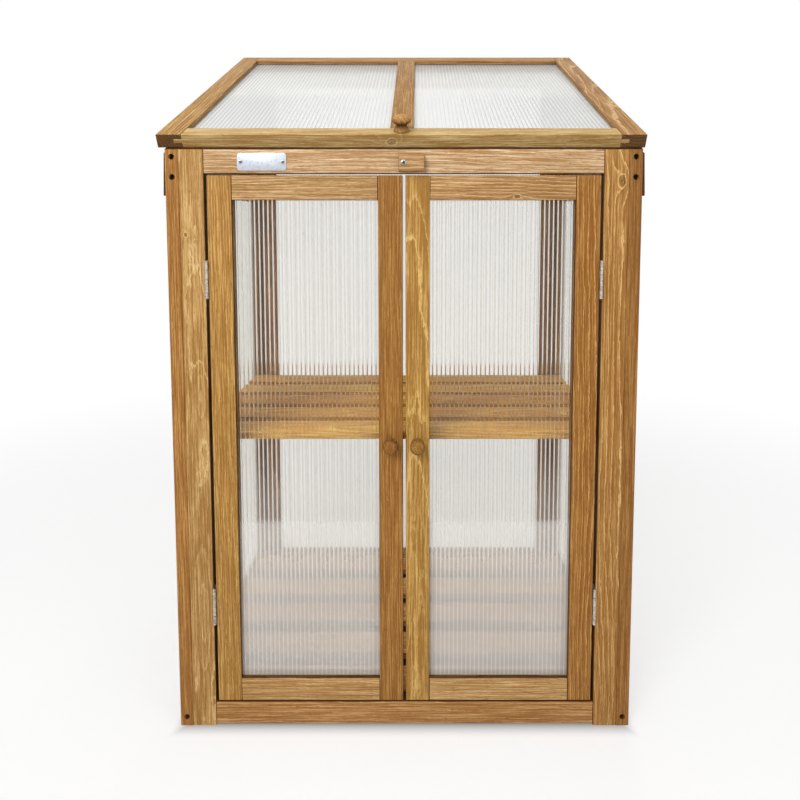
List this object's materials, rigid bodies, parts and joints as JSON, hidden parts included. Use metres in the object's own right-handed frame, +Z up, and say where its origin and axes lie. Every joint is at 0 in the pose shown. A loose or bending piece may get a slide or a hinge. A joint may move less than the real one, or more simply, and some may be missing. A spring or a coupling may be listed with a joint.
{
  "type": "mini greenhouse",
  "caption": "Upright wooden mini greenhouse with twin-wall glazing, a pair of front doors, a sloping hinged lid, and a slatted shelf above a slatted base.",
  "frame": {"origin": "on the ground, in the middle of the outer box", "axes": "+X to the right as seen from the front, -Y out of the front with the doors, +Z up"},
  "size_m": [0.76, 0.5394, 1.2017],
  "materials": {
    "stained_wood": "satin",
    "turned_wood": "satin",
    "twin_wall_sheet": "gloss",
    "zinc_hinge": "satin",
    "zinc_screw": "satin",
    "brushed_plate": "satin",
    "dark_bolt": "satin"
  },
  "bodies": {
    "frame": {"base_bearers": "stained_wood", "base_slats": "stained_wood", "frame_screws": "zinc_screw", "front_head_rail": "stained_wood", "front_sill_rail": "stained_wood", "left_door_hinges_fixed": "zinc_hinge", "left_front_post": "stained_wood", "left_front_stile": "stained_wood", "left_rear_post": "stained_wood", "left_rear_stile": "stained_wood", "left_side_band": "stained_wood", "left_side_pane": "twin_wall_sheet", "left_side_sill": "stained_wood", "left_slope_rail": "stained_wood", "lid_hinges_fixed": "zinc_hinge", "name_plate": "brushed_plate", "name_plate_screws": "zinc_screw", "rear_head_rail": "stained_wood", "rear_pane": "twin_wall_sheet", "rear_sill_rail": "stained_wood", "right_door_hinges_fixed": "zinc_hinge", "right_front_post": "stained_wood", "right_front_stile": "stained_wood", "right_rear_post": "stained_wood", "right_rear_stile": "stained_wood", "right_side_band": "stained_wood", "right_side_pane": "twin_wall_sheet", "right_side_sill": "stained_wood", "right_slope_rail": "stained_wood", "shelf_bearers": "stained_wood", "shelf_slats": "stained_wood", "turn_button_screw": "zinc_screw"},
    "left_door": {"left_door_bottom_rail": "stained_wood", "left_door_hinge_stile": "stained_wood", "left_door_hinges_moving": "zinc_hinge", "left_door_knob": "turned_wood", "left_door_lock_stile": "stained_wood", "left_door_pane": "twin_wall_sheet", "left_door_top_rail": "stained_wood"},
    "right_door": {"right_door_bottom_rail": "stained_wood", "right_door_hinge_stile": "stained_wood", "right_door_hinges_moving": "zinc_hinge", "right_door_knob": "turned_wood", "right_door_lock_stile": "stained_wood", "right_door_pane": "twin_wall_sheet", "right_door_top_rail": "stained_wood"},
    "lid": {"lid_edge_bolt": "dark_bolt", "lid_front_rail": "stained_wood", "lid_hinges_moving": "zinc_hinge", "lid_knob": "turned_wood", "lid_left_pane": "twin_wall_sheet", "lid_left_rail": "stained_wood", "lid_mullion": "stained_wood", "lid_rear_rail": "stained_wood", "lid_right_pane": "twin_wall_sheet", "lid_right_rail": "stained_wood"},
    "turn_button": {"turn_button": "turned_wood"}
  },
  "joints": [
    {"name": "left_door_hinge", "type": "hinge", "parent": "frame", "child": "left_door", "pos_m": [-0.30675, -0.24865, 0.4705], "axis": [0, 0, -1], "range_deg": [0, 170]},
    {"name": "right_door_hinge", "type": "hinge", "parent": "frame", "child": "right_door", "pos_m": [0.30675, -0.24865, 0.4705], "axis": [0, 0, 1], "range_deg": [0, 170]},
    {"name": "lid_hinge", "type": "hinge", "parent": "frame", "child": "lid", "pos_m": [0, 0.26715, 1.18239], "axis": [-1, 0, 0], "range_deg": [0, 75]},
    {"name": "turn_button_pivot", "type": "hinge", "parent": "frame", "child": "turn_button", "pos_m": [0, -0.25165, 0.916], "axis": [0, 1, 0], "range_deg": [0, 180]}
  ]
}
